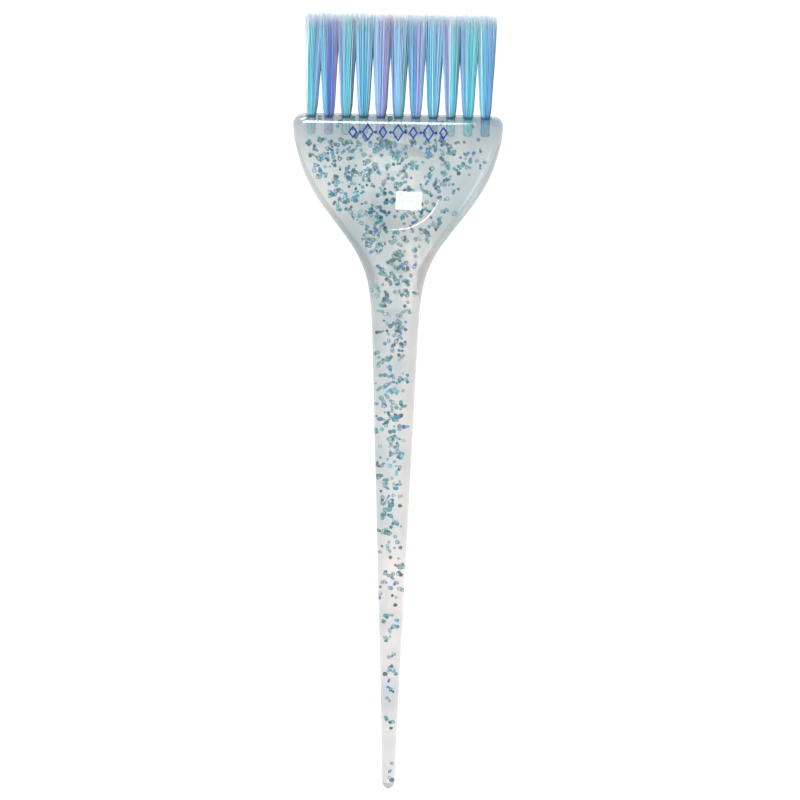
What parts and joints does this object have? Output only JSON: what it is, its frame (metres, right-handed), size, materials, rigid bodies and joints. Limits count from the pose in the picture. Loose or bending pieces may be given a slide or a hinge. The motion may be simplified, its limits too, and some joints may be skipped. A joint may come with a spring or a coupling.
{
  "type": "hair tint brush",
  "caption": "Wide hair colouring brush: flat flared clear glitter handle with a thumb dimple and slim sectioning tail, and soft feathered bristle tufts that flex at the head.",
  "frame": {"origin": "tip of the sectioning tail, on the handle's centre line, with the brush held upright", "axes": "+Z from the tail up to the bristle tips, +Y out of the plain flat back (the thumb dimple faces -Y), +X along the row of tufts"},
  "size_m": [0.0602, 0.0098, 0.2238],
  "materials": {
    "clear_acrylic": "gloss",
    "bristle": "satin",
    "anchor_wire": "satin"
  },
  "bodies": {
    "handle": {"handle": "clear_acrylic", "tuft_folds_front": "bristle", "tuft_folds_back": "bristle", "staple_anchors": "anchor_wire"},
    "bristles_front": {"tuft_front_01": "bristle", "tuft_front_02": "bristle", "tuft_front_03": "bristle", "tuft_front_04": "bristle", "tuft_front_05": "bristle", "tuft_front_06": "bristle", "tuft_front_07": "bristle", "tuft_front_08": "bristle", "tuft_front_09": "bristle", "tuft_front_10": "bristle", "tuft_front_11": "bristle"},
    "bristles_back": {"tuft_back_01": "bristle", "tuft_back_02": "bristle", "tuft_back_03": "bristle", "tuft_back_04": "bristle", "tuft_back_05": "bristle", "tuft_back_06": "bristle", "tuft_back_07": "bristle", "tuft_back_08": "bristle", "tuft_back_09": "bristle", "tuft_back_10": "bristle", "tuft_back_11": "bristle"}
  },
  "joints": [
    {"name": "front_row_flex", "type": "hinge", "parent": "handle", "child": "bristles_front", "pos_m": [0, -0.0021, 0.1946], "axis": [1, 0, 0], "range_deg": [-25, 25], "stiffness_Nm_per_rad": 0.012},
    {"name": "back_row_flex", "type": "hinge", "parent": "handle", "child": "bristles_back", "pos_m": [0, 0.0021, 0.1946], "axis": [1, 0, 0], "range_deg": [-25, 25], "stiffness_Nm_per_rad": 0.012}
  ],
  "couplings": [
    {"joint": "back_row_flex", "follows": "front_row_flex", "ratio": 1}
  ]
}
